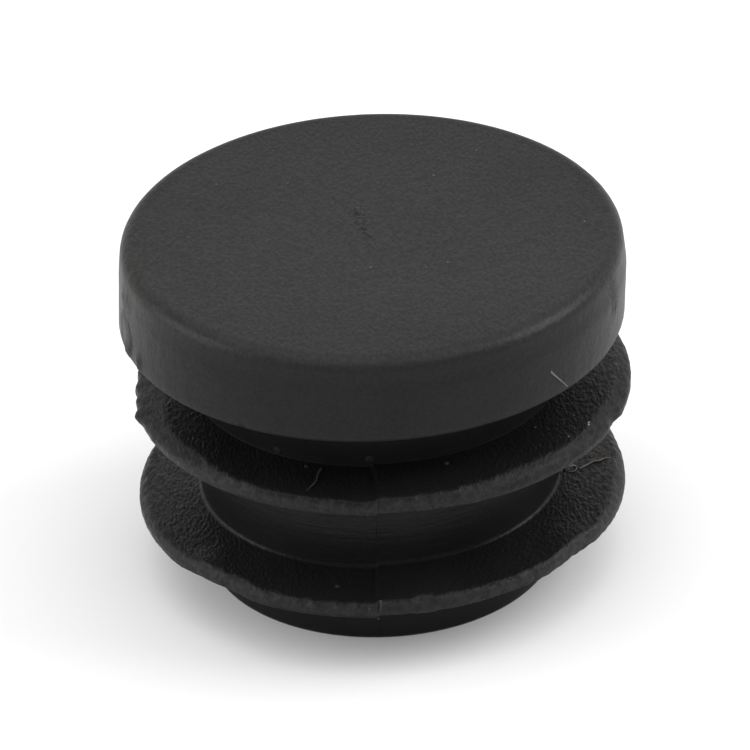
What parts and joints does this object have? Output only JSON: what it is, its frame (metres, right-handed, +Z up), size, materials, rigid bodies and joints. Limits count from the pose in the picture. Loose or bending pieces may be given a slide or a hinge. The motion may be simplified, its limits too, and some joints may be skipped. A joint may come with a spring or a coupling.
{
  "type": "round insert cap",
  "caption": "Black moulded round insert cap: a thick flanged head on a hollow tapered stem with thin gripping fins that press into the end of a round tube.",
  "frame": {"origin": "centre of the stem's tip, on which the loose cap stands", "axes": "+Z up the cap's axis, from the stem's tip to the outer face of the head"},
  "size_m": [0.025, 0.025, 0.0181],
  "materials": {
    "black_plastic": "fine moulded grain, matte"
  },
  "bodies": {
    "root": {"insert_cap": "black_plastic"}
  },
  "joints": []
}
